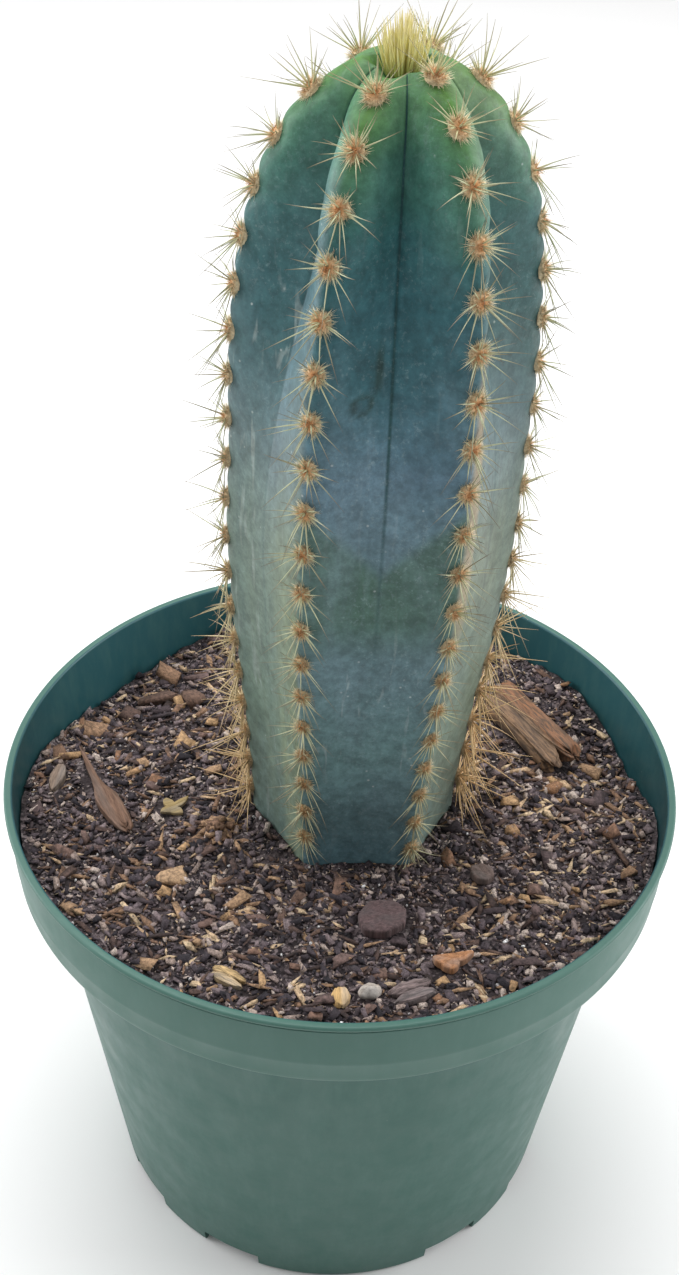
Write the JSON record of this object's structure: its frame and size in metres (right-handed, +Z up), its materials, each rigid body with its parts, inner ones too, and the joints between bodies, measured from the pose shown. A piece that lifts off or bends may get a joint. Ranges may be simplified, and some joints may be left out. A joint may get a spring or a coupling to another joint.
{
  "type": "potted columnar cactus",
  "caption": "Blue-green ribbed columnar cactus with tan spine clusters along its ribs and a pale crown tuft, standing in bark potting mix in a round green plastic nursery pot.",
  "frame": {"origin": "on the surface that the pot stands on, at the middle of the part's box, which is the pot's own axis", "axes": "+Z is up along the stem, the pictured side faces -Y, +X is to the viewer's right"},
  "size_m": [0.1524, 0.1524, 0.29],
  "materials": {
    "pot_plastic": "grey-green moulded plastic with a slight sheen and light scuffs",
    "potting_mix": "dark moist peat and bark fines with tan fibres and white perlite specks",
    "stem_skin": "smooth waxy blue-green skin with pale bloom, specks and small scars",
    "spines": "dry straw-coloured spines from orange-tan felt",
    "crown_spines": "young pale yellow spines",
    "bark": "weathered brown bark",
    "wood_chip": "tan and orange wood fibre",
    "dry_leaf": "dry yellow leaf",
    "pale_stone": "pale matte stone"
  },
  "bodies": {
    "root": {"pot": "pot_plastic", "soil": "potting_mix", "stem": "stem_skin", "spines_rib_1": "spines", "spines_rib_2": "spines", "spines_rib_3": "spines", "spines_rib_4": "spines", "spines_rib_5": "spines", "spines_rib_6": "spines", "crown_spines": "crown_spines", "bark_slab": "bark", "bark_disc": "bark", "bark_splinter": "bark", "chip_orange": "wood_chip", "chip_brown": "bark", "chip_yellow": "wood_chip", "chip_grey": "bark", "chip_tan": "wood_chip", "chip_pale": "wood_chip", "leaf_scrap": "dry_leaf", "pebble": "pale_stone"}
  },
  "joints": []
}
